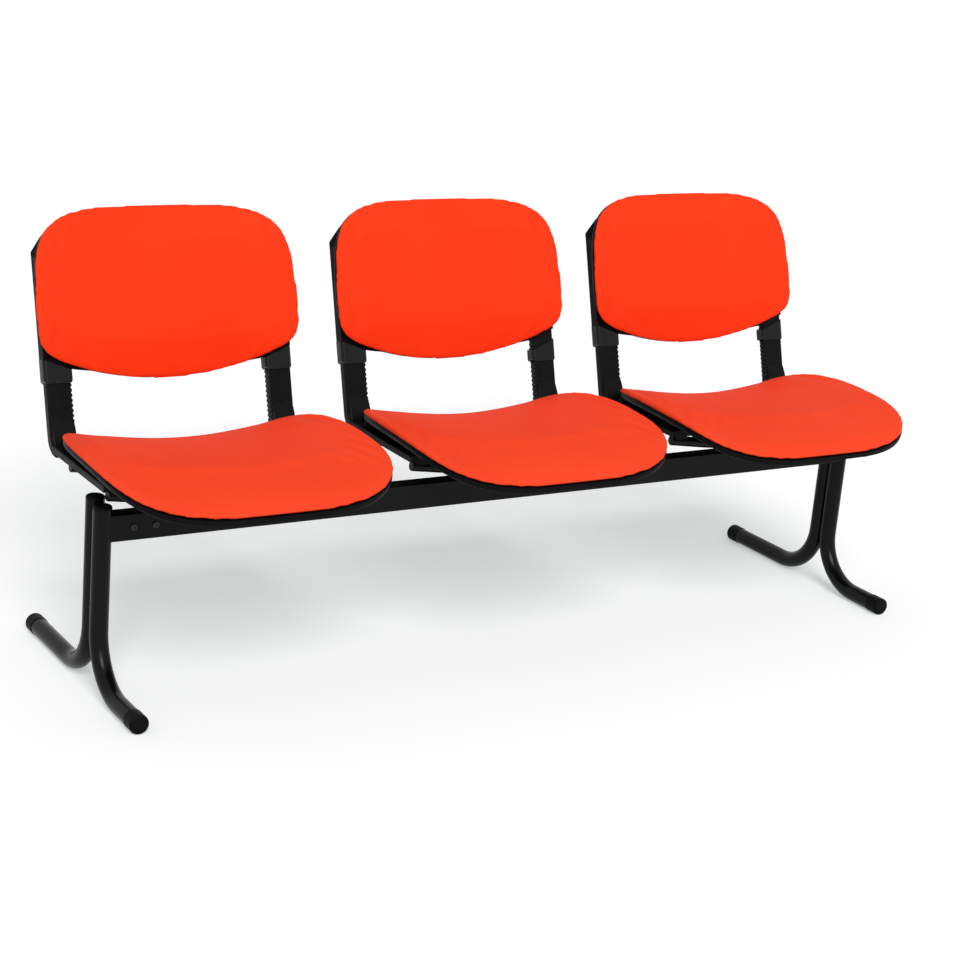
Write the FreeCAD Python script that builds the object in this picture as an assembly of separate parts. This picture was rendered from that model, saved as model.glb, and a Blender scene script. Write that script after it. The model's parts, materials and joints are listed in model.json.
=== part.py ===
import FreeCAD, Part
import math
import os

# Three-seat beam seating for a waiting room. Two legs, each a pair of bent round
# tubes, carry one rectangular beam. Every seat stands on two bowed cross rods with a
# pair of moulded toothed arms that rise behind it and hold an upholstered back.
# The backs slide up the arms and a loose sleeve on each arm slides below its back.
# Millimetres, X along the beam, Y from the front to the rear, Z up, floor at Z = 0.

os.makedirs("parts", exist_ok=True)
V = FreeCAD.Vector

# Overall layout
seat_count = 3
seat_gap = 56.0               # between neighbouring cushions at their widest
leg_outset = 227.0            # from the middle of an outer seat to its leg pair

# Legs
leg_tube_d = 33.0
leg_tube_wall = 2.0
leg_bend_radius = 100.0       # on the tube's axis
front_foot_reach = 205.0      # from the plane between the two tubes to the toe
rear_foot_reach = 291.0
front_leg_top = 341.0
rear_leg_top = 349.0
floor_lift = 0.5              # gap between the foot tube and the floor
top_cap_height = 6.0
top_cap_round = 4.0
top_cap_plug = 14.0
plug_clearance = 0.1
foot_cap_wall = 1.0
foot_cap_grip = 24.0
foot_cap_end = 6.0
foot_cap_round = 4.5

# Beam
beam_height = 50.0
beam_depth = 30.0
beam_wall = 2.5
beam_corner = 4.0
beam_bottom = 277.0
beam_end_gap = 5.5            # between the beam's end and the leg tube
spigot_reach = 115.0          # how far the leg's spigot runs into the beam
spigot_clearance = 0.2
spigot_wall = 3.0
bolt_d = 8.0
bolt_hole_clearance = 0.3
bolt_head_d = 12.5
bolt_head_height = 3.0
bolt_socket_d = 5.0
bolt_socket_depth = 1.8
bolt_shank_length = 16.0
bolt_positions = (29.0, 69.0)  # from the beam's end

# Cross rods under a seat
rod_d = 20.0
rod_half_length = 220.0
rod_end_slope = 8.0           # degrees, the ends rise outwards
rod_straight_end = 72.0
rear_rod_y = 151.0
rod_plug_length = 5.0
rod_plug_round = 2.5

# Outrigger that carries the rear rod
outrigger_width = 40.0
outrigger_height = 25.0
outrigger_wall = 2.5
outrigger_overhang = 14.0     # past the rear rod's axis

# Seat: plan outline, dish and cushion
seat_front_y = -239.0
seat_rear_y = 211.0
seat_half_front = 267.0
seat_half_rear = 258.0
seat_plan_power = 3.4
seat_z = 387.5                # underside of the cushion at the middle
seat_side_rise_rear = 62.0
seat_side_rise_front = 9.5
seat_tilt = 18.7              # front edge above the middle before the front roll
seat_front_drop = 51.6
seat_rear_kick = 12.0
seat_cushion_thick = 27.0
seat_cushion_edge = 14.0
seat_front_edge_extra = 4.0   # the edge is this much deeper at the very front
seat_edge_tuck = 7.0          # the top of the edge is set in by this much
seat_shell_thick = 12.0
seat_shell_margin = 0.5
seat_shell_tuck = 8.0         # the shell's underside is set in by this much
soft_gap = 0.3
boss_d = 26.0

# Back: outline in its own plane, curve across, cushion and shell
recline = 17.0                # degrees from upright
back_centre_y = 278.5
back_centre_z = 631.2
back_half_width = 251.0
back_half_height = 155.0
back_taper = 8.5              # half width lost from the middle to the top
back_top_power = 3.75
back_bottom_power = 2.94
back_side_forward = 29.0      # how far the side edges come forward
back_cushion_front = 8.0      # cushion edge, in front of and behind its widest line
back_cushion_rear = 4.0
back_edge_tuck = 7.0          # the front of the cushion's edge is set in by this much
back_crown = 12.0
back_shell_rim = 14.0
back_shell_margin = -1.0      # the cushion's cover laps over the shell's edge
back_shell_tuck = 10.0        # the shell's rear edge is set in by this much

# Toothed arms, sleeves and the back's sockets
arm_x = 214.75                # arm axis from the seat's middle
arm_width = 47.5
arm_thick = 18.0
arm_edge_round = 3.0
arm_normal = 1.5              # arm axis behind the back's reference plane
arm_bend_radius = 26.0
arm_front_y = -46.0
foot_thick = 12.0
arm_foot_z = 379.0            # middle of the foot, just under the seat's shell
arm_pocket_gap = 0.5          # around the foot where the shell comes down over it
arm_saddle = 4.0              # how deep a rod sits in the foot's pad
arm_pad_x = 203.0             # middle of the pad from the seat's middle
arm_pad_width = 28.0
arm_pad_depth = 26.0
arm_pad_round = 5.0
gusset_top = 49.0             # web in the inner corner of the bend: three heights
gusset_mid = 27.0             # above the foot's middle and how far it comes
gusset_reach = 9.0            # forward of the blade at mid height and at the foot
gusset_foot_reach = 13.0
arm_top = 68.0                # end of the arm along the back's slope
tooth_pitch = 9.0
tooth_depth = 3.2
tooth_count = 17
rib_depth = 0.8
rib_width = 2.4
rib_length = 26.0
sleeve_side_wall = 2.8
sleeve_front_wall = 2.5
sleeve_rear_wall = 6.5
sleeve_outer_height = 43.0
sleeve_inner_height = 22.0
sleeve_round = 7.0
sleeve_chamfer = 5.0
sleeve_bottom = -153.0        # along the back's slope
slide_clearance = 0.3
socket_gap = 0.5              # between a sleeve and the foot of its socket
socket_front_wall = 2.3
socket_rear_wall = 3.5
socket_side_step = 1.0        # the socket is this much narrower than the sleeve
socket_cover = 9.5            # closed height above the arm's end
socket_end_gap = 1.0
# how far each sleeve has slid down from its back, seat by seat, left then right
sleeve_drop = ((0.0, 0.0), (0.0, 20.0), (0.0, 10.0))

# Values that follow from the ones above
seat_pitch = 2 * seat_half_front + seat_gap
leg_spacing = (seat_count - 1) * seat_pitch + 2 * leg_outset
beam_length = leg_spacing - leg_tube_d - 2 * beam_end_gap
leg_r = leg_tube_d / 2
leg_axis_z = leg_r + floor_lift
beam_y = -leg_r
beam_top = beam_bottom + beam_height
front_rod_y = beam_y
rod_r = rod_d / 2
slope = math.radians(rod_end_slope)
rod_mid_z = beam_top + rod_r
rod_bow_x = rod_half_length - rod_straight_end * math.cos(slope)
rod_bow_radius = rod_bow_x / math.sin(slope)
rod_bow_rise = rod_bow_radius * (1 - math.cos(slope))
rod_pad_z = rod_mid_z + rod_bow_rise + (arm_pad_x - rod_bow_x) * math.tan(slope)
arm_pad_bottom = rod_pad_z + rod_r / math.cos(slope) - arm_saddle
sleeve_width = arm_width + 2 * (slide_clearance + sleeve_side_wall)
sleeve_depth = arm_thick + 2 * slide_clearance + sleeve_front_wall + sleeve_rear_wall
foot_top = arm_foot_z + foot_thick / 2
tilt = math.radians(recline)
seat_xs = [(i - (seat_count - 1) / 2) * seat_pitch for i in range(seat_count)]


def box(x0, x1, y0, y1, z0, z1):
    return Part.makeBox(x1 - x0, y1 - y0, z1 - z0, V(x0, y0, z0))


def rod(p, q, r):
    axis = q.sub(p)
    return Part.makeCylinder(r, axis.Length, p, axis)


def face_of(points):
    return Part.Face(Part.makePolygon(points + [points[0]]))


def arc(p, q, s):
    return Part.Arc(p, q, s).toShape()


def line(p, q):
    return Part.LineSegment(p, q).toShape()


def fuse(shapes):
    out = shapes[0]
    for s in shapes[1:]:
        out = out.fuse(s)
    return out.removeSplitter()


def rounded_rect(width, depth, r):
    """Closed wire in XY around the origin with quarter-circle corners."""
    a, b, k = width / 2, depth / 2, r * math.sqrt(0.5)
    edges = []
    for sx, sy in ((1, 1), (-1, 1), (-1, -1), (1, -1)):
        cx, cy = sx * (a - r), sy * (b - r)
        first = V(sx * a, cy, 0) if sx * sy > 0 else V(cx, sy * b, 0)
        last = V(cx, sy * b, 0) if sx * sy > 0 else V(sx * a, cy, 0)
        edges.append((first, V(cx + sx * k, cy + sy * k, 0), last))
    out = []
    for i, (p, m, q) in enumerate(edges):
        out.append(arc(p, m, q))
        out.append(line(q, edges[(i + 1) % 4][0]))
    return Part.Wire(out)


def rect_tube(length, width, depth, wall, corner):
    """Hollow section along X, width across Y and depth along Z, from X = 0."""
    outer = Part.Face(rounded_rect(width, depth, corner)).extrude(V(0, 0, length))
    inner_corner = max(corner - wall, wall / 4)
    inner = Part.Face(rounded_rect(width - 2 * wall, depth - 2 * wall, inner_corner))
    out = outer.cut(inner.extrude(V(0, 0, length)))
    out.rotate(V(0, 0, 0), V(0, 0, 1), 90)
    out.rotate(V(0, 0, 0), V(0, 1, 0), 90)
    return out


def bent_path(points, radii):
    """Straight runs joined by tangent arcs at the inner points."""
    edges, start = [], points[0]
    for i in range(1, len(points) - 1):
        a = points[i - 1].sub(points[i])
        b = points[i + 1].sub(points[i])
        a.normalize()
        b.normalize()
        half = a.getAngle(b) / 2
        run = radii[i - 1] / math.tan(half)
        p = points[i].add(a * run)
        q = points[i].add(b * run)
        mid = a.add(b)
        mid.normalize()
        centre = points[i].add(mid * (radii[i - 1] / math.sin(half)))
        m = centre.sub(mid * radii[i - 1])
        edges += [line(start, p), arc(p, m, q)]
        start = q
    edges.append(line(start, points[-1]))
    return Part.Wire(edges)


def pipe(path, profile):
    return path.makePipeShell([profile], True, False)


def ring(p, axis, r):
    return Part.Wire(Part.Circle(p, axis, r).toShape())


# Legs: each end has a front and a rear tube that stand back to back, bend outwards
# near the floor and run out as feet.
def leg_tube(x, side):
    y = side * leg_r
    top = front_leg_top if side < 0 else rear_leg_top
    reach = front_foot_reach if side < 0 else rear_foot_reach
    points = [V(x, y, top - top_cap_height), V(x, y, leg_axis_z),
              V(x, side * (reach - foot_cap_end), leg_axis_z)]
    path = bent_path(points, [leg_bend_radius])
    outer = pipe(path, ring(points[0], V(0, 0, 1), leg_r))
    inner = pipe(path, ring(points[0], V(0, 0, 1), leg_r - leg_tube_wall))
    return outer.cut(inner)


def top_cap(x, side):
    y = side * leg_r
    top = front_leg_top if side < 0 else rear_leg_top
    z = top - top_cap_height
    head = Part.makeCylinder(leg_r, top_cap_height, V(x, y, z))
    rim = [e for e in head.Edges if e.BoundBox.ZMin > top - 0.01]
    head = head.makeFillet(top_cap_round, rim)
    bore = leg_r - leg_tube_wall - plug_clearance
    return fuse([head, Part.makeCylinder(bore, top_cap_plug, V(x, y, z - top_cap_plug))])


def foot_cap(x, side):
    reach = front_foot_reach if side < 0 else rear_foot_reach
    tip = side * reach
    back = tip - side * (foot_cap_grip + foot_cap_end)
    r = leg_r + foot_cap_wall
    body = rod(V(x, back, leg_axis_z), V(x, tip, leg_axis_z), r)
    rim = [e for e in body.Edges
           if abs(e.BoundBox.YMin - tip) < 0.01 and abs(e.BoundBox.YMax - tip) < 0.01]
    body = body.makeFillet(foot_cap_round, rim)
    seat = rod(V(x, back, leg_axis_z), V(x, tip - side * foot_cap_end, leg_axis_z), leg_r)
    body = body.cut(seat)
    return body.cut(box(x - 2 * r, x + 2 * r, min(back, tip) - 1, max(back, tip) + 1, -2 * r, 0))


# Beam, with a bolted spigot at each end that is welded to the front leg tube.
def bolt_xs(side):
    return [side * (beam_length / 2 - p) for p in bolt_positions]


def bolt_holes(side):
    y0 = beam_y - beam_depth / 2
    z = beam_bottom + beam_height / 2
    r = bolt_d / 2 + bolt_hole_clearance
    return [rod(V(x, y0 - 1, z), V(x, y0 + beam_wall + 1, z), r) for x in bolt_xs(side)]


def make_beam():
    out = rect_tube(beam_length, beam_depth, beam_height, beam_wall, beam_corner)
    out.translate(V(-beam_length / 2, beam_y, beam_bottom + beam_height / 2))
    for side in (-1, 1):
        for hole in bolt_holes(side):
            out = out.cut(hole)
    return out


def make_spigot(side):
    """Built for the right-hand end and mirrored for the left-hand one."""
    leg_x = leg_spacing / 2
    end_x = beam_length / 2
    mid_z = beam_bottom + beam_height / 2
    block = Part.Face(rounded_rect(beam_depth, beam_height, beam_corner))
    block = block.extrude(V(0, 0, leg_x - end_x))
    block.rotate(V(0, 0, 0), V(0, 0, 1), 90)
    block.rotate(V(0, 0, 0), V(0, 1, 0), 90)
    block.translate(V(end_x, beam_y, mid_z))
    gap = beam_wall + spigot_clearance
    tube = rect_tube(spigot_reach, beam_depth - 2 * gap, beam_height - 2 * gap,
                     spigot_wall, beam_corner / 2)
    tube.translate(V(end_x - spigot_reach, beam_y, mid_z))
    out = fuse([block, tube])
    out = out.cut(Part.makeCylinder(leg_r, 2 * beam_top, V(leg_x, beam_y, 0)))
    for x in bolt_xs(1):
        y0 = beam_y - beam_depth / 2 + gap
        out = out.cut(rod(V(x, y0 - 1, mid_z), V(x, y0 + spigot_wall + 1, mid_z),
                          bolt_d / 2 + bolt_hole_clearance))
    if side < 0:
        out = out.mirror(V(0, 0, 0), V(1, 0, 0))
    return out


def make_bolt(x):
    y = beam_y - beam_depth / 2
    z = beam_bottom + beam_height / 2
    head = rod(V(x, y - bolt_head_height, z), V(x, y, z), bolt_head_d / 2)
    rim = [e for e in head.Edges if e.BoundBox.YMax < y - bolt_head_height + 0.01]
    head = head.makeFillet(bolt_head_height / 2, rim)
    shank = rod(V(x, y, z), V(x, y + bolt_shank_length, z), bolt_d / 2)
    points = [V(x + bolt_socket_d / 2 * math.cos(k * math.pi / 3), y - bolt_head_height,
                z + bolt_socket_d / 2 * math.sin(k * math.pi / 3)) for k in range(6)]
    socket = face_of(points).extrude(V(0, bolt_socket_depth, 0))
    return fuse([head, shank]).cut(socket)


# Cross rods: bowed in the middle, straight and rising at both ends.
def rod_path(cx, y, inset):
    """The rod's axis, with each end pulled in by inset."""
    ex = rod_half_length - inset * math.cos(slope)
    ez = rod_mid_z + rod_bow_rise + (ex - rod_bow_x) * math.tan(slope)
    bz = rod_mid_z + rod_bow_rise
    p = [V(cx - ex, y, ez), V(cx - rod_bow_x, y, bz), V(cx, y, rod_mid_z),
         V(cx + rod_bow_x, y, bz), V(cx + ex, y, ez)]
    return Part.Wire([line(p[0], p[1]), arc(p[1], p[2], p[3]), line(p[3], p[4])]), p


def make_rod(cx, y, r, inset):
    path, p = rod_path(cx, y, inset)
    return pipe(path, ring(p[0], p[1].sub(p[0]), r))


def make_cross_rod(cx, y):
    """A bowed rod with a rounded plastic plug moulded on each end."""
    body = make_rod(cx, y, rod_r, rod_plug_length)
    _, p = rod_path(cx, y, rod_plug_length)
    _, q = rod_path(cx, y, 0)
    for a, b in ((p[0], q[0]), (p[4], q[4])):
        plug = rod(a, b, rod_r)
        rim = [e for e in plug.Edges
               if e.BoundBox.Center.sub(b).Length < 0.5 and len(e.Vertexes) == 1]
        body = body.fuse(plug.makeFillet(rod_plug_round, rim))
    return body.removeSplitter()


def make_outrigger(cx):
    """Tube welded to the beam's rear face; the rear rod lies on it."""
    y0 = beam_y + beam_depth / 2
    length = rear_rod_y + outrigger_overhang - y0
    out = rect_tube(length, outrigger_width, outrigger_height, outrigger_wall, beam_corner)
    out.rotate(V(0, 0, 0), V(0, 0, 1), 90)
    out.translate(V(cx, y0, beam_top - outrigger_height / 2))
    return out


# Seat: the dish of the shell and of the cushion's underside.
seat_mid_y = (seat_front_y + seat_rear_y) / 2
seat_half_depth = (seat_rear_y - seat_front_y) / 2


def seat_half_width(v):
    """Half width at v, from -1 at the front edge to 1 at the rear edge."""
    full = seat_half_front + (seat_half_rear - seat_half_front) * (v + 1) / 2
    return full * (1 - min(abs(v), 1) ** seat_plan_power) ** (1 / seat_plan_power)


def seat_dish(v):
    """Height of the cushion's underside on the middle line and its rise at full width."""
    k = (v + 1) / 2
    z = seat_z - seat_tilt * v
    z -= seat_front_drop * max(0, -v - 0.2) ** 2
    z -= seat_rear_kick * max(0, v) ** 2
    z -= seat_front_edge_extra * (1 - k)
    return z, seat_side_rise_front + (seat_side_rise_rear - seat_side_rise_front) * k


def seat_height(x, v):
    z, rise = seat_dish(v)
    full = seat_half_front + (seat_half_rear - seat_half_front) * (v + 1) / 2
    return z + rise * (x / full) ** 2


seat_stations = (-0.992, -0.95, -0.87, -0.72, -0.48, -0.16, 0.2, 0.52, 0.75, 0.88, 0.955, 0.992)


def seat_section(cx, v, grow, low, high, tuck_low, tuck_high, crown):
    """Closed section across the seat: lower arc, sides and upper arc."""
    y = seat_mid_y + v * (seat_half_depth + grow)
    w = seat_half_width(v) + grow
    lo, mid, hi = w - tuck_low, w, w - tuck_high
    u = v * (1 + grow / seat_half_depth)
    zl = seat_height(lo, u) + low
    zh = seat_height(hi, u) + high
    zs = seat_height(mid, u) + (low + high) / 2
    z0 = seat_dish(u)[0]
    a, b = V(cx - lo, y, zl), V(cx + lo, y, zl)
    c, d = V(cx + hi, y, zh), V(cx - hi, y, zh)
    return Part.Wire([arc(a, V(cx, y, z0 + low), b), arc(b, V(cx + mid, y, zs), c),
                      arc(c, V(cx, y, z0 + high + crown), d), arc(d, V(cx - mid, y, zs), a)])


def fullness(v, power):
    return max(0.0, 1 - abs(v) ** power) ** 0.5


def make_seat_cushion(cx):
    sections = []
    for v in seat_stations:
        f = fullness(v, 6)
        edge = (seat_cushion_edge + seat_front_edge_extra * (1 - v) / 2) * (1 + f) / 2
        crown = (seat_cushion_thick - seat_cushion_edge) * f
        sections.append(seat_section(cx, v, 0, soft_gap, soft_gap + edge,
                                     seat_edge_tuck / 4, seat_edge_tuck, crown))
    return Part.makeLoft(sections, True, False)


def make_seat_shell(cx):
    sections = []
    for v in seat_stations:
        thick = seat_shell_thick * (1 + fullness(v, 10)) / 2
        sections.append(seat_section(cx, v, seat_shell_margin, -thick, 0,
                                     seat_shell_tuck, soft_gap, 0))
    shell = Part.makeLoft(sections, True, False)
    half = arm_width / 2 + arm_pocket_gap
    for x in (-arm_x, arm_x):
        shell = shell.cut(box(cx + x - half, cx + x + half, arm_front_y - arm_pocket_gap,
                              seat_rear_y, foot_top - foot_thick,
                              foot_top + arm_pocket_gap))
        for y in (front_rod_y, rear_rod_y):
            v = (y - seat_mid_y) / seat_half_depth
            high = seat_height(abs(x) - boss_d / 2, v) - seat_shell_thick / 2
            boss = Part.makeCylinder(boss_d / 2, high - foot_top, V(cx + x, y, foot_top))
            shell = shell.fuse(boss)
    return shell


# Back: built upright in its own frame, with X across, Y behind and Z along the slope,
# then leant back and set in place.
back_curve_radius = (back_half_width ** 2 + back_side_forward ** 2) / (2 * back_side_forward)


def lean(shape, cx):
    out = shape.copy()
    out.rotate(V(0, 0, 0), V(1, 0, 0), -recline)
    out.translate(V(cx, back_centre_y, back_centre_z))
    return out


def leant(s, n):
    """World Y and Z of a point s along the slope and n behind the reference plane."""
    return (back_centre_y + s * math.sin(tilt) + n * math.cos(tilt),
            back_centre_z + s * math.cos(tilt) - n * math.sin(tilt))


def back_outline_half(s):
    t = max(-1, min(1, s / back_half_height))
    power = back_top_power if t > 0 else back_bottom_power
    full = back_half_width - back_taper * t
    return full * (1 - abs(t) ** power) ** (1 / power)


def back_curve(x, offset):
    r = back_curve_radius + offset
    return -back_curve_radius + math.sqrt(r * r - x * x)


back_stations = (-0.994, -0.96, -0.88, -0.72, -0.45, -0.1, 0.3, 0.6, 0.8, 0.915, 0.97, 0.994)


def back_section(t, grow, front, rear, tuck_front, tuck_rear, crown):
    s = t * (back_half_height + grow)
    w = back_outline_half(t * back_half_height) + grow
    fw, rw = w - tuck_front, w - tuck_rear
    a, b = V(-fw, back_curve(fw, front), s), V(fw, back_curve(fw, front), s)
    c, d = V(rw, back_curve(rw, rear), s), V(-rw, back_curve(rw, rear), s)
    mid = (front + rear) / 2
    return Part.Wire([arc(a, V(0, front - crown, s), b), arc(b, V(w, back_curve(w, mid), s), c),
                      arc(c, V(0, rear, s), d), arc(d, V(-w, back_curve(w, mid), s), a)])


def make_back_cushion(cx):
    sections = []
    for t in back_stations:
        f = fullness(t, 6)
        front = -back_cushion_front * (1 + f) / 2
        sections.append(back_section(t, 0, front, back_cushion_rear - soft_gap,
                                     back_edge_tuck, back_edge_tuck / 4, back_crown * f))
    return lean(Part.makeLoft(sections, True, False), cx)


# Socket housing on the back shell for one arm, and the arm's own outline.
def sleeve_top(x_out):
    """Height of the sleeve's sloping top at x_out from the arm axis, outwards."""
    k = (x_out + sleeve_width / 2) / sleeve_width
    rise = sleeve_outer_height - sleeve_inner_height
    return sleeve_bottom + sleeve_inner_height + rise * k


def socket_body(side):
    """Housing that widens the shell around the arm, with its foot above the sleeve."""
    half = sleeve_width / 2 - socket_side_step
    n0 = arm_normal - arm_thick / 2 - slide_clearance - socket_front_wall
    n1 = arm_normal + arm_thick / 2 + slide_clearance + socket_rear_wall
    top = arm_top + socket_end_gap + socket_cover
    cx = side * arm_x
    foot_in = sleeve_top(-half) + socket_gap
    foot_out = sleeve_top(half) + socket_gap
    points = [V(cx - side * half, n0, foot_in), V(cx + side * half, n0, foot_out),
              V(cx + side * half, n0, top), V(cx - side * half, n0, top)]
    body = face_of(points).extrude(V(0, n1 - n0, 0))
    upright = [e for e in body.Edges
               if abs(e.Vertexes[0].X - e.Vertexes[-1].X) < 0.01
               and abs(e.Vertexes[0].Y - e.Vertexes[-1].Y) < 0.01]
    return body.makeFillet(socket_front_wall, upright)


def socket_bore(side):
    bore = Part.Face(rounded_rect(arm_width + 2 * slide_clearance,
                                  arm_thick + 2 * slide_clearance, arm_edge_round))
    low = sleeve_bottom - sleeve_outer_height
    bore = bore.extrude(V(0, 0, arm_top + socket_end_gap - low))
    bore.translate(V(side * arm_x, arm_normal, low))
    return bore


def make_back_shell(cx):
    sections = []
    for t in back_stations:
        rim = back_shell_rim * (1 + fullness(t, 8)) / 2
        sections.append(back_section(t, back_shell_margin, back_cushion_rear,
                                     back_cushion_rear + rim, soft_gap,
                                     back_shell_tuck, 0))
    shell = Part.makeLoft(sections, True, False)
    for side in (-1, 1):
        shell = shell.fuse(socket_body(side)).cut(socket_bore(side))
    return lean(shell, cx)


def arm_path(cx):
    """Axis of an arm: foot along the rods, bend, then the reclined blade."""
    top_y, top_z = leant(arm_top, arm_normal)
    axis_z = foot_top - arm_thick / 2
    run = (top_z - axis_z) * math.tan(tilt)
    corner = V(cx, top_y - run, axis_z)
    return [V(cx, arm_front_y, axis_z), corner, V(cx, top_y, top_z)]


def gusset(cx):
    """Web that fills the inner corner between the foot and the blade."""
    def ahead(height, reach):
        z = arm_foot_z + height
        n = arm_normal - arm_thick / 2
        s = (z - back_centre_z + n * math.sin(tilt)) / math.cos(tilt)
        return V(cx - arm_width / 2 + arm_edge_round, leant(s, n)[0] - reach, z)
    a, m = ahead(gusset_top, 0), ahead(gusset_mid, gusset_reach)
    c, d = ahead(0, gusset_foot_reach), ahead(0, -arm_thick / 2)
    e = ahead(gusset_top, -arm_thick / 2)
    side = Part.Face(Part.Wire([arc(a, m, c), line(c, d), line(d, e), line(e, a)]))
    return side.extrude(V(arm_width - 2 * arm_edge_round, 0, 0))


def make_arm(seat_x, side):
    cx = seat_x + side * arm_x
    points = arm_path(cx)
    path = bent_path(points, [arm_bend_radius])
    profile = rounded_rect(arm_width, arm_thick, arm_edge_round)
    profile.rotate(V(0, 0, 0), V(1, 0, 0), 90)
    profile.translate(points[0])
    body = pipe(path, profile)
    # the foot is thinner than the blade, from just ahead of the bend
    body = body.cut(box(cx - arm_width, cx + arm_width, arm_front_y - 1, points[1].y - arm_bend_radius,
                        foot_top - 2 * arm_thick, foot_top - foot_thick))
    body = body.fuse(gusset(cx))
    for y in (front_rod_y, rear_rod_y):
        pad = Part.Face(rounded_rect(arm_pad_width, arm_pad_depth, arm_pad_round))
        pad = pad.extrude(V(0, 0, arm_foot_z - arm_pad_bottom))
        pad.translate(V(seat_x + side * arm_pad_x, y, arm_pad_bottom))
        body = body.fuse(pad)
    # teeth: notches cut in the inner edge of the blade, each with a shallow groove
    # that runs on across the front face
    up = points[2].sub(points[1])
    up.normalize()
    bend_run = arm_bend_radius * math.tan((math.pi / 2 - tilt) / 2)
    start = points[1].add(up * (bend_run + tooth_pitch / 2))
    rear = V(0, up.z, -up.y)
    inner = -side * arm_width / 2
    cutters = []
    for i in range(tooth_count):
        c = start.add(up * (i * tooth_pitch))
        base = c.add(V(inner, 0, 0)).sub(rear * arm_thick)
        tip = base.add(V(side * tooth_depth, 0, 0))
        out = V(-side * tooth_depth * 0.25, 0, 0)
        half = up * (tooth_pitch * 0.625)
        cutters.append(face_of([base.add(half).add(out), tip, base.sub(half).add(out)])
                       .extrude(rear * (2 * arm_thick)))
    for i in range(1, tooth_count, 2):
        c = start.add(up * (i * tooth_pitch)).sub(rear * (arm_thick / 2))
        a = c.add(V(inner, 0, 0)).sub(up * (rib_width / 2)).sub(rear * rib_depth)
        b = a.add(V(side * rib_length, 0, 0))
        cutters.append(face_of([a, b, b.add(up * rib_width), a.add(up * rib_width)])
                       .extrude(rear * (2 * rib_depth)))
    body = body.cut(Part.makeCompound(cutters))
    for y in (front_rod_y, rear_rod_y):
        body = body.cut(make_rod(seat_x, y, rod_r, 0))
    return body


def make_sleeve(seat_x, side, drop):
    half = sleeve_width / 2
    c = sleeve_chamfer
    n0 = arm_normal - arm_thick / 2 - slide_clearance - sleeve_front_wall
    bottom = sleeve_bottom
    points = [V(-half + c, 0, bottom), V(half - c, 0, bottom), V(half, 0, bottom + c),
              V(half, 0, sleeve_top(half)), V(-half, 0, sleeve_top(-half)),
              V(-half, 0, bottom + c)]
    body = face_of(points).extrude(V(0, sleeve_depth, 0))
    body.translate(V(0, n0, 0))
    column = Part.Face(rounded_rect(sleeve_width, sleeve_depth, sleeve_round))
    column = column.extrude(V(0, 0, 2 * sleeve_outer_height))
    column.translate(V(0, n0 + sleeve_depth / 2, bottom - sleeve_outer_height / 2))
    body = body.common(column)
    if side < 0:
        body = body.mirror(V(0, 0, 0), V(1, 0, 0))
    body.translate(V(side * arm_x, 0, 0))
    body = body.cut(socket_bore(side))
    body.translate(V(0, 0, -drop))
    return lean(body, seat_x)


nodes = {"beam": make_beam()}
for name, side in (("left", -1), ("right", 1)):
    x = side * leg_spacing / 2
    nodes["leg_front_" + name] = leg_tube(x, -1)
    nodes["leg_rear_" + name] = leg_tube(x, 1)
    nodes["leg_front_" + name + "_cap"] = top_cap(x, -1)
    nodes["leg_rear_" + name + "_cap"] = top_cap(x, 1)
    nodes["foot_front_" + name] = foot_cap(x, -1)
    nodes["foot_rear_" + name] = foot_cap(x, 1)
    nodes["spigot_" + name] = make_spigot(side)
    nodes["beam_bolts_" + name] = Part.makeCompound([make_bolt(b) for b in bolt_xs(side)])

for i, cx in enumerate(seat_xs):
    n = "seat%d_" % (i + 1)
    nodes[n + "outrigger"] = make_outrigger(cx)
    nodes[n + "rod_front"] = make_cross_rod(cx, front_rod_y)
    nodes[n + "rod_rear"] = make_cross_rod(cx, rear_rod_y)
    nodes[n + "shell"] = make_seat_shell(cx)
    nodes[n + "cushion"] = make_seat_cushion(cx)
    nodes[n + "arm_left"] = make_arm(cx, -1)
    nodes[n + "arm_right"] = make_arm(cx, 1)
    nodes[n + "sleeve_left"] = make_sleeve(cx, -1, sleeve_drop[i % 3][0])
    nodes[n + "sleeve_right"] = make_sleeve(cx, 1, sleeve_drop[i % 3][1])
    nodes[n + "back_shell"] = make_back_shell(cx)
    nodes[n + "back_cushion"] = make_back_cushion(cx)

# The origin is on the floor, midway between the legs and midway front to rear.
bounds = [s.optimalBoundingBox() for s in nodes.values()]
shift = V(0, -(min(b.YMin for b in bounds) + max(b.YMax for b in bounds)) / 2, 0)
print("shift in Y", round(shift.y, 4))
for name, shape in nodes.items():
    shape.translate(shift)
    b = shape.BoundBox
    kind = "ok" if shape.isValid() and all(s.isClosed() for s in shape.Solids) else "BAD"
    print(name, kind, len(shape.Solids), round(shape.Volume), "y %.1f..%.1f z %.1f..%.1f"
          % (b.YMin, b.YMax, b.ZMin, b.ZMax))
    shape.exportStep("parts/" + name + ".step")
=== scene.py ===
import json
import math

import bpy
import numpy as np
from mathutils import Matrix, Vector


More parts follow.
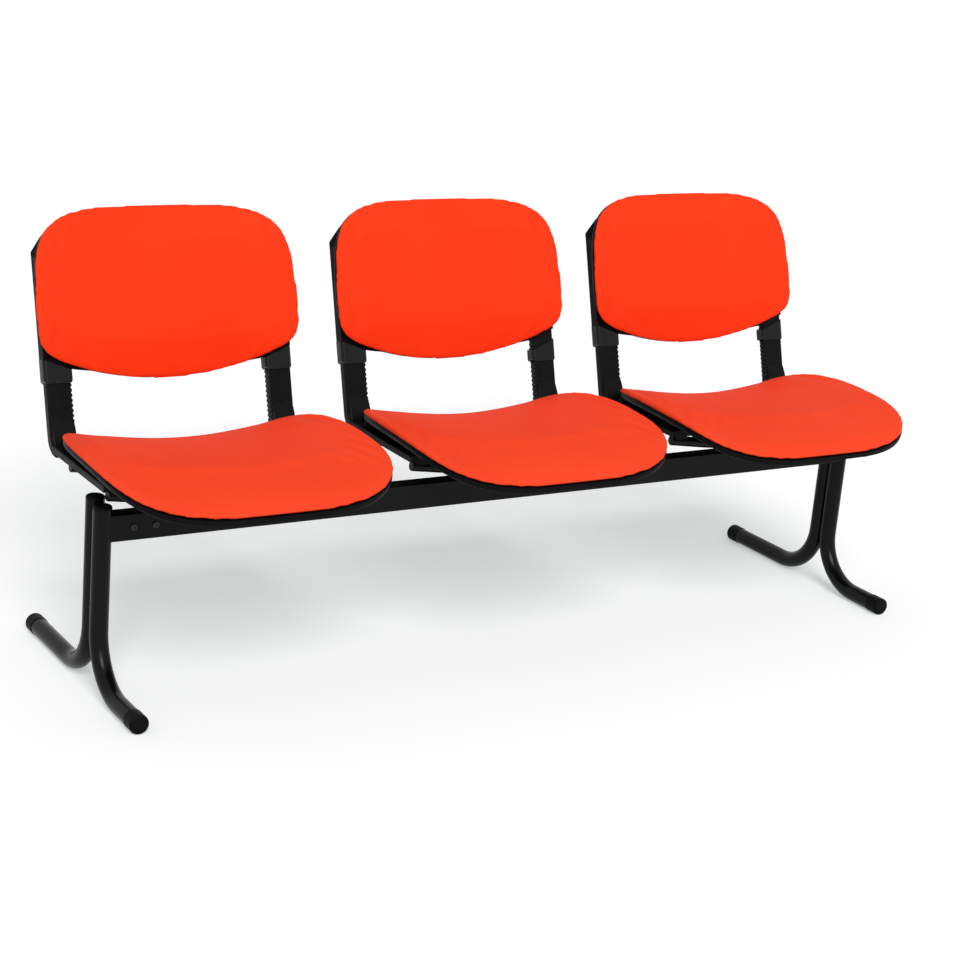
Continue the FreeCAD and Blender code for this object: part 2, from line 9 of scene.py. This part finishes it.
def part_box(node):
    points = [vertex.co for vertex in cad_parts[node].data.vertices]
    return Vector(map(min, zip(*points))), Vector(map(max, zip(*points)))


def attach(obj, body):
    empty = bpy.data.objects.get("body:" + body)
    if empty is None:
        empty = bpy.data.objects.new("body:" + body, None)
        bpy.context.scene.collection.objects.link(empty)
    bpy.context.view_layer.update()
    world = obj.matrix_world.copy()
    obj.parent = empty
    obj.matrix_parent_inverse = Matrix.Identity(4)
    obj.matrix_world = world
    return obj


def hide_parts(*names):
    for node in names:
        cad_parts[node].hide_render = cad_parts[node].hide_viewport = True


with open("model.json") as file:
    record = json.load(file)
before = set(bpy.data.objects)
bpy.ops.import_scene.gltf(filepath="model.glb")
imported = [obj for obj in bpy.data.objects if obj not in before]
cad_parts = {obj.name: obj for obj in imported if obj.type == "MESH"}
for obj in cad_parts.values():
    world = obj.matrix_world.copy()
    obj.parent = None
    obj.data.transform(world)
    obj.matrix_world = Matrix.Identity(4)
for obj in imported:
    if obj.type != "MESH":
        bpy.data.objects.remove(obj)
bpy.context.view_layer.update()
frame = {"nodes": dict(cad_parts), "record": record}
nodes = frame["nodes"]
scene = bpy.context.scene

# ---------------------------------------------------------------- sizes, in metres
recline = math.radians(17)    # the backs' slope from upright
slope_up = Vector((0, math.sin(recline), math.cos(recline)))
slope_back = Vector((0, math.cos(recline), -math.sin(recline)))

rounding_voxel, cover_voxel = 0.003, 0.005    # the two remeshes of a cover
cover_slack = 0.002           # how far inside its solid the padded side starts
cover_swell = 0.004           # how far the blown-up cloth may move from there
cover_pressure = 4
cover_frames = 20
cover_over_rim = 0.0012       # how far a cover stands past its solid's outline

# backs: middle of the first back's plane, outline, and the bow of its face
back_middle_y, back_middle_z = 0.2294445, 0.6312
back_half_width, back_half_height, back_taper = 0.251, 0.155, 0.0085
back_side_forward = 0.029
back_bow = (back_half_width ** 2 + back_side_forward ** 2) / (2 * back_side_forward)
upper_power, lower_power = 3.75, 2.94    # roundness of the solid's corners
lower_sag = 1.633             # width of the sagging lower edge against its depth
lower_tightness = 10          # how tight the two lower corners are
outline_end = 0.985           # share of the half height up to which the lower edge changes
change_starts = 0.3           # and the share over which that change comes in

# sockets of the back shells: square top and rear face of the solid, and the new slope
socket_top, socket_rear = 0.0785, 0.0143
socket_top_band = 0.0008
socket_inner = 0.187          # everything further out belongs to a socket
socket_blend = 0.012
socket_slope = 1.25
socket_inset = 0.002

# light: the room all round, one large soft window, and how bright the bare floor looks
room_light = 0.42
key_light = 2.15
key_from = (-0.25, -0.72, 0.65)
key_angle = math.radians(30)
floor_glow = 0.38
floor_size = 120

# camera: place, lens and the three angles of the photograph's view
eye_place = (-2.1304, -3.2326, 1.4901)
eye_lens, eye_sensor = 79.5, 36
eye_yaw, eye_pitch, eye_roll = (math.radians(angle) for angle in (33.07, -17.26, 4.99))


# ---------------------------------------------------------------- finishes
def new_finish(name, colour, roughness, shine):
    finish = bpy.data.materials.new(name)
    finish.use_nodes = True
    tree = finish.node_tree
    shader = tree.nodes["Principled BSDF"]
    shader.inputs["Base Color"].default_value = (*colour, 1)
    shader.inputs["Roughness"].default_value = roughness
    shader.inputs["Specular IOR Level"].default_value = shine
    place = tree.nodes.new("ShaderNodeTexCoord")
    return finish, tree, shader, place


def add_node(tree, kind, inputs=(), **settings):
    node = tree.nodes.new("ShaderNode" + kind)
    for key, value in settings.items():
        setattr(node, key, value)
    for socket, value in dict(inputs).items():
        if isinstance(value, bpy.types.NodeSocket):
            tree.links.new(value, node.inputs[socket])
        else:
            node.inputs[socket].default_value = value
    return node


def noise(tree, place, scale, detail=3, roughness=0.5):
    return add_node(tree, "TexNoise", {"Vector": place.outputs["Object"], "Scale": scale,
                                       "Detail": detail, "Roughness": roughness})


def spread(tree, source, low, high, to_low, to_high):
    return add_node(tree, "MapRange", {"Value": source, "From Min": low, "From Max": high,
                                       "To Min": to_low, "To Max": to_high})


def vary_gloss(tree, shader, source, smooth, rough):
    gloss = spread(tree, source.outputs[0], 0.3, 0.7, smooth, rough)
    tree.links.new(gloss.outputs[0], shader.inputs["Roughness"])


def bump(tree, shader, height, strength, distance):
    node = add_node(tree, "Bump", {"Height": height, "Strength": strength,
                                   "Distance": distance})
    tree.links.new(node.outputs["Normal"], shader.inputs["Normal"])


def blend_colours(tree, factor, first, second):
    node = add_node(tree, "Mix", data_type="RGBA")
    tree.links.new(factor, node.inputs[0])
    node.inputs[6].default_value = (*first, 1)
    node.inputs[7].default_value = (*second, 1)
    return node.outputs[2]


def powder_coat():
    """Black powder coat: a faint orange-peel surface that varies in gloss."""
    finish, tree, shader, place = new_finish("powder_coat_black", (0.003, 0.003, 0.0035),
                                             0.22, 0.12)
    peel = noise(tree, place, 900, 2)
    cloud = noise(tree, place, 14, 4)
    vary_gloss(tree, shader, cloud, 0.17, 0.27)
    tone = blend_colours(tree, cloud.outputs[0], (0.002, 0.0022, 0.0025),
                         (0.004, 0.0042, 0.0048))
    tree.links.new(tone, shader.inputs["Base Color"])
    bump(tree, shader, peel.outputs[0], 0.25, 0.0002)
    return finish


def grained_plastic(name, dark, light, smooth, rough, grain, depth, shine):
    """Moulded plastic with a fine spark-eroded grain and a few rubbed, glossier places."""
    finish, tree, shader, place = new_finish(name, dark, rough, shine)
    cloud = noise(tree, place, 22, 4)
    pits = add_node(tree, "TexVoronoi", {"Vector": place.outputs["Object"], "Scale": grain})
    tone = blend_colours(tree, cloud.outputs[0], dark, light)
    tree.links.new(tone, shader.inputs["Base Color"])
    vary_gloss(tree, shader, cloud, smooth, rough)
    bump(tree, shader, pits.outputs["Distance"], 0.3, depth)
    return finish


def blackened_steel():
    """Bolt heads: dark steel with a rubbed surface."""
    finish, tree, shader, place = new_finish("blackened_steel", (0.03, 0.03, 0.033), 0.3, 0.5)
    shader.inputs["Metallic"].default_value = 0.8
    rub = noise(tree, place, 260, 3)
    vary_gloss(tree, shader, rub, 0.25, 0.42)
    bump(tree, shader, rub.outputs[0], 0.2, 0.0002)
    return finish


def upholstery(name, turn, deep, bright):
    """Fine plain-weave cover: over and under threads, with a slightly uneven dye."""
    finish, tree, shader, place = new_finish(name, bright, 0.7, 0.12)
    turned = add_node(tree, "Mapping", {"Vector": place.outputs["Object"], "Rotation": turn})
    warp, weft = (add_node(tree, "TexWave", {"Vector": turned.outputs[0], "Scale": 190,
                                             "Distortion": 0.4}, bands_direction=way)
                  for way in ("X", "Y"))
    weave = add_node(tree, "Math", {0: warp.outputs[1], 1: weft.outputs[1]},
                     operation="MULTIPLY")
    dye = noise(tree, place, 5, 5, 0.6)
    fibre = noise(tree, place, 420, 3)
    cloud = spread(tree, dye.outputs[0], 0.3, 0.7, 0, 1)
    tone = blend_colours(tree, cloud.outputs[0], deep, bright)
    thread = add_node(tree, "Mix", data_type="RGBA", blend_type="MULTIPLY")
    thread.inputs[0].default_value = 0.08
    tree.links.new(tone, thread.inputs[6])
    tree.links.new(weave.outputs[0], thread.inputs[7])
    tree.links.new(thread.outputs[2], shader.inputs["Base Color"])
    vary_gloss(tree, shader, fibre, 0.62, 0.76)
    high = add_node(tree, "Math", {0: weave.outputs[0], 1: fibre.outputs[0]}, operation="ADD")
    bump(tree, shader, high.outputs[0], 0.15, 0.0003)
    return finish


finishes = {
    "powder_coat": powder_coat(),
    "black_plastic": grained_plastic("shell_plastic_black", (0.002, 0.002, 0.0022),
                                     (0.004, 0.004, 0.0045), 0.42, 0.55, 1400, 0.0002, 0.06),
    "arm_plastic": grained_plastic("arm_plastic_black", (0.0025, 0.0025, 0.003),
                                   (0.005, 0.005, 0.006), 0.36, 0.48, 1100, 0.0002, 0.07),
    "sleeve_plastic": grained_plastic("sleeve_plastic_black", (0.004, 0.0045, 0.005),
                                      (0.008, 0.009, 0.010), 0.24, 0.34, 1600, 0.00015, 0.16),
    "bolt_steel": blackened_steel(),
    # the seat cover is the backs' fabric with painted sheen: its colours carry more green and
    # blue than the back cover's, standing for the light from above on the seats
    "seat_upholstery": upholstery("seat_cover_orange_red_painted_sheen", (0, 0, 0),
                                  (0.94, 0.060, 0.016), (1.0, 0.070, 0.020)),
    "back_upholstery": upholstery("back_cover_orange_red", (math.pi / 2 - recline, 0, 0),
                                  (0.96, 0.040, 0.004), (1.0, 0.047, 0.006))}


def dress(piece, slot):
    piece.data.materials.clear()
    piece.data.materials.append(finishes[slot])


for part in frame["record"]["subparts"]:
    dress(nodes[part["node"]], part["material_slot"])


# ---------------------------------------------------------------- working on a mesh
def only(piece):
    bpy.ops.object.select_all(action="DESELECT")
    piece.select_set(True)
    bpy.context.view_layer.objects.active = piece


def merged_copy(node, name):
    """A copy of a solid with its loose triangles joined, ready to be shaped."""
    piece = nodes[node].copy()
    piece.data = nodes[node].data.copy()
    piece.name = piece.data.name = name
    scene.collection.objects.link(piece)
    only(piece)
    bpy.ops.object.mode_set(mode="EDIT")
    bpy.ops.mesh.select_all(action="SELECT")
    bpy.ops.mesh.remove_doubles(threshold=0.00002)
    bpy.ops.object.mode_set(mode="OBJECT")
    return piece


def again(piece, name, shift):
    """The same piece once more, further along the beam."""
    twin = bpy.data.objects.new(name, piece.data.copy())
    twin.data.name = name
    twin.data.transform(Matrix.Translation((shift, 0, 0)))
    scene.collection.objects.link(twin)
    return twin


def apply(piece, kind, **settings):
    tool = piece.modifiers.new(kind.lower(), kind)
    for key, value in settings.items():
        setattr(tool, key, value)
    bpy.ops.object.modifier_apply(modifier=tool.name)


def vectors_of(mesh, kind):
    """The points ("co") or the normals ("normal") of a mesh, one row each."""
    flat = np.empty(len(mesh.vertices) * 3)
    mesh.vertices.foreach_get(kind, flat)
    return flat.reshape(-1, 3)


def set_points(mesh, points):
    mesh.vertices.foreach_set("co", points.astype(np.float32).ravel())
    mesh.update()


def middle_x(node):
    low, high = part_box(node)
    return (low.x + high.x) / 2


# ---------------------------------------------------------------- covers
def even_rim(pad, face):
    """Smooths the cover's edge, where the foam's corner was, and leaves the padded face."""
    rim = pad.vertex_groups.new(name="rim")
    for i, level in enumerate(np.abs(vectors_of(pad.data, "normal") @ np.array(face))):
        rim.add([i], float(np.clip((0.97 - level) * 8, 0, 1)), "REPLACE")
    apply(pad, "SMOOTH", factor=0.5, iterations=12, vertex_group="rim")
    pad.vertex_groups.clear()


def blown_up(pad, face):
    """Lets the padded side swell as cloth under pressure, held at its rim and its rear."""
    start, out = vectors_of(pad.data, "co"), vectors_of(pad.data, "normal")
    padded_side = np.clip(out @ np.array(face) + 0.35, 0, 1)
    start = start - out * cover_slack * padded_side[:, None]
    set_points(pad.data, start)
    held = pad.vertex_groups.new(name="held")
    for i, share in enumerate(padded_side):
        held.add([i], float(1 - min(1, share * 1.6)), "REPLACE")
    cloth = pad.modifiers.new("cloth", "CLOTH")
    settings = cloth.settings
    settings.quality = 6
    settings.mass = 0.3
    settings.tension_stiffness = settings.compression_stiffness = 25
    settings.shear_stiffness = 10
    settings.bending_stiffness = 3
    settings.use_pressure = True
    settings.uniform_pressure_force = cover_pressure
    settings.effector_weights.gravity = 0
    settings.vertex_group_mass = "held"
    cloth.point_cache.frame_start = 1
    cloth.point_cache.frame_end = cover_frames
    for step in range(1, cover_frames + 1):
        scene.frame_set(step)
    shaped = pad.evaluated_get(bpy.context.evaluated_depsgraph_get())
    moved = vectors_of(shaped.data, "co") - start
    length = np.linalg.norm(moved, axis=1)
    moved *= np.minimum(1, cover_swell / np.maximum(length, 1e-9))[:, None]
    pad.modifiers.remove(cloth)
    pad.vertex_groups.clear()
    set_points(pad.data, start + moved)
    scene.frame_set(1)
    apply(pad, "SMOOTH", factor=0.5, iterations=3)


def pulled_out(pad, node, face):
    """Pulls the smoothed cover out to its solid's outline again, and a little past it."""
    points = vectors_of(pad.data, "co")
    wanted = vectors_of(nodes[node].data, "co")
    for axis in np.array(((1, 0, 0), np.cross(face, (1, 0, 0)))):
        have, want = points @ axis, wanted @ axis
        middle = (want.max() + want.min()) / 2
        gain = (want.max() - want.min() + 2 * cover_over_rim) / (have.max() - have.min())
        shift = (have - (have.max() + have.min()) / 2) * gain + middle - have
        points = points + shift[:, None] * axis
    set_points(pad.data, points)


def stuffed(node, name, face):
    """A cover over its foam: face is the direction that the padded side looks in."""
    pad = merged_copy(node, name)
    apply(pad, "REMESH", mode="VOXEL", voxel_size=rounding_voxel)
    apply(pad, "SMOOTH", factor=0.5, iterations=10)
    apply(pad, "REMESH", mode="VOXEL", voxel_size=cover_voxel)
    apply(pad, "SMOOTH", factor=0.5, iterations=2)
    even_rim(pad, face)
    blown_up(pad, face)
    pulled_out(pad, node, face)
    apply(pad, "SUBSURF", levels=1, render_levels=1)
    bpy.ops.object.shade_smooth()
    return pad


# ---------------------------------------------------------------- backs
# A back's own plane has x across, s up the slope and n behind it, from the back's middle.
def in_back_plane(points, seat_x):
    moved = points - np.array((seat_x, back_middle_y, back_middle_z))
    return moved[:, 0], moved @ np.array(slope_up), moved @ np.array(slope_back)


def from_back_plane(x, s, n, seat_x):
    return (np.array((seat_x, back_middle_y, back_middle_z))
            + x[:, None] * np.array((1, 0, 0)) + s[:, None] * np.array(slope_up)
            + n[:, None] * np.array(slope_back))


def back_outline(s):
    """Half width of the solid's outline at height s."""
    t = np.clip(s / back_half_height, -0.999, 0.999)
    power = np.where(t > 0, upper_power, lower_power)
    return (back_half_width - back_taper * t) * (1 - np.abs(t) ** power) ** (1 / power)


def lower_edge_change(s):
    """How much wider or narrower a back is than its solid below the middle.

    It keeps its width down to two tight corners, and sags between them."""
    t = np.clip(-s / back_half_height, 0, outline_end)
    sagging = lower_sag * np.sqrt(1 - t)
    wanted = ((back_half_width + back_taper * t)
              * (1 + sagging ** -lower_tightness) ** (-1 / lower_tightness))
    fade = np.clip(t / change_starts, 0, 1)
    return 1 + (wanted / back_outline(-t * back_half_height) - 1) * fade


def follow_bow(x, out, n):
    """Keeps a point's depth behind the back's curved face while it moves across."""
    return n - (np.sqrt(back_bow ** 2 - x ** 2) - np.sqrt(back_bow ** 2 - out ** 2))


def shape_lower_edge(pad, seat_x):
    x, s, n = in_back_plane(vectors_of(pad.data, "co"), seat_x)
    out = x * lower_edge_change(s)
    set_points(pad.data, from_back_plane(out, s, follow_bow(x, out, n), seat_x))


def moulded_back_shell(node, name, seat_x):
    """The back's shell, its lower edge along the cover and its sockets' tops sloping."""
    shell = merged_copy(node, name)
    x, s, n = in_back_plane(vectors_of(shell.data, "co"), seat_x)
    top = (np.abs(s - socket_top) < socket_top_band) & (np.abs(x) > socket_inner)
    s = np.where(top, s + (socket_rear - n) * socket_slope, s)
    inside = np.sign(x) * np.minimum(np.abs(x), back_outline(s) - socket_inset)
    x = np.where(top, inside, x)
    free = np.clip((socket_inner - np.abs(x)) / socket_blend, 0, 1)
    out = x * (1 + (np.minimum(lower_edge_change(s), 1) - 1) * free)
    set_points(shell.data, from_back_plane(out, s, follow_bow(x, out, n), seat_x))
    only(shell)
    bpy.ops.object.shade_smooth_by_angle(angle=math.radians(32))
    return shell


# ---------------------------------------------------------------- the three places
first_seat_x = middle_x("seat1_back_cushion")
seat_pad = stuffed("seat1_cushion", "seat_pad_1", (0, 0, 1))
back_pad = stuffed("seat1_back_cushion", "back_pad_1", tuple(-slope_back))
shape_lower_edge(back_pad, first_seat_x)
back_shell = moulded_back_shell("seat1_back_shell", "back_cover_1", first_seat_x)
# piece, its name, the node it stands for, the body it rides on, its slot
made = ((back_shell, "back_cover_%d", "seat%d_back_shell", "back_%d", "black_plastic"),
        (seat_pad, "seat_pad_%d", "seat%d_cushion", "frame", "seat_upholstery"),
        (back_pad, "back_pad_%d", "seat%d_back_cushion", "back_%d", "back_upholstery"))
for number in (1, 2, 3):
    step = middle_x("seat%d_back_cushion" % number) - first_seat_x
    for first, name, node, body, slot in made:
        piece = first if number == 1 else again(first, name % number, step)
        dress(piece, slot)
        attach(piece, body % number if "%" in body else body)
        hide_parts(node % number)


# ---------------------------------------------------------------- room and light
def seen_white(tree):
    """1 where the camera sees a surface, straight, by a reflection or through glass."""
    ray = add_node(tree, "LightPath")
    sight = ray.outputs["Is Camera Ray"]
    for other in ("Is Glossy Ray", "Is Transmission Ray"):
        sight = add_node(tree, "Math", {0: sight, 1: ray.outputs[other]},
                         operation="MAXIMUM").outputs[0]
    return sight


bpy.ops.object.select_all(action="DESELECT")
bpy.ops.mesh.primitive_plane_add(size=floor_size, location=(0, 0, 0))
floor = bpy.context.object
floor.name = "floor"
ground, tree, shader, _ = new_finish("floor_white", (0.80, 0.76, 0.77), 0.9, 0.05)
glow = add_node(tree, "Math", {0: seen_white(tree), 1: floor_glow}, operation="MULTIPLY")
shader.inputs["Emission Color"].default_value = (0.90, 1, 0.975, 1)
tree.links.new(glow.outputs[0], shader.inputs["Emission Strength"])
floor.data.materials.append(ground)

world = bpy.data.worlds.new("studio")
scene.world = world
world.use_nodes = True
tree = world.node_tree
sky = tree.nodes["Background"]
bright = add_node(tree, "MapRange", {"Value": seen_white(tree), "To Min": room_light,
                                     "To Max": 1.0})
sky.inputs["Color"].default_value = (1, 1, 1, 1)
tree.links.new(bright.outputs[0], sky.inputs["Strength"])

window = bpy.data.lights.new("big_soft_window", "SUN")
window.energy = key_light
window.angle = key_angle
window_piece = bpy.data.objects.new("big_soft_window", window)
window_piece.rotation_euler = Vector(key_from).to_track_quat("Z", "Y").to_euler()
scene.collection.objects.link(window_piece)

eye = bpy.data.cameras.new("camera")
eye.sensor_width = eye_sensor
eye.lens = eye_lens
camera = bpy.data.objects.new("camera", eye)
camera.matrix_world = (Matrix.Translation(eye_place) @ Matrix.Rotation(-eye_yaw, 4, "Z")
                       @ Matrix.Rotation(math.pi / 2 + eye_pitch, 4, "X")
                       @ Matrix.Rotation(eye_roll, 4, "Z"))
scene.collection.objects.link(camera)
scene.camera = camera
scene.view_settings.view_transform = "Standard"
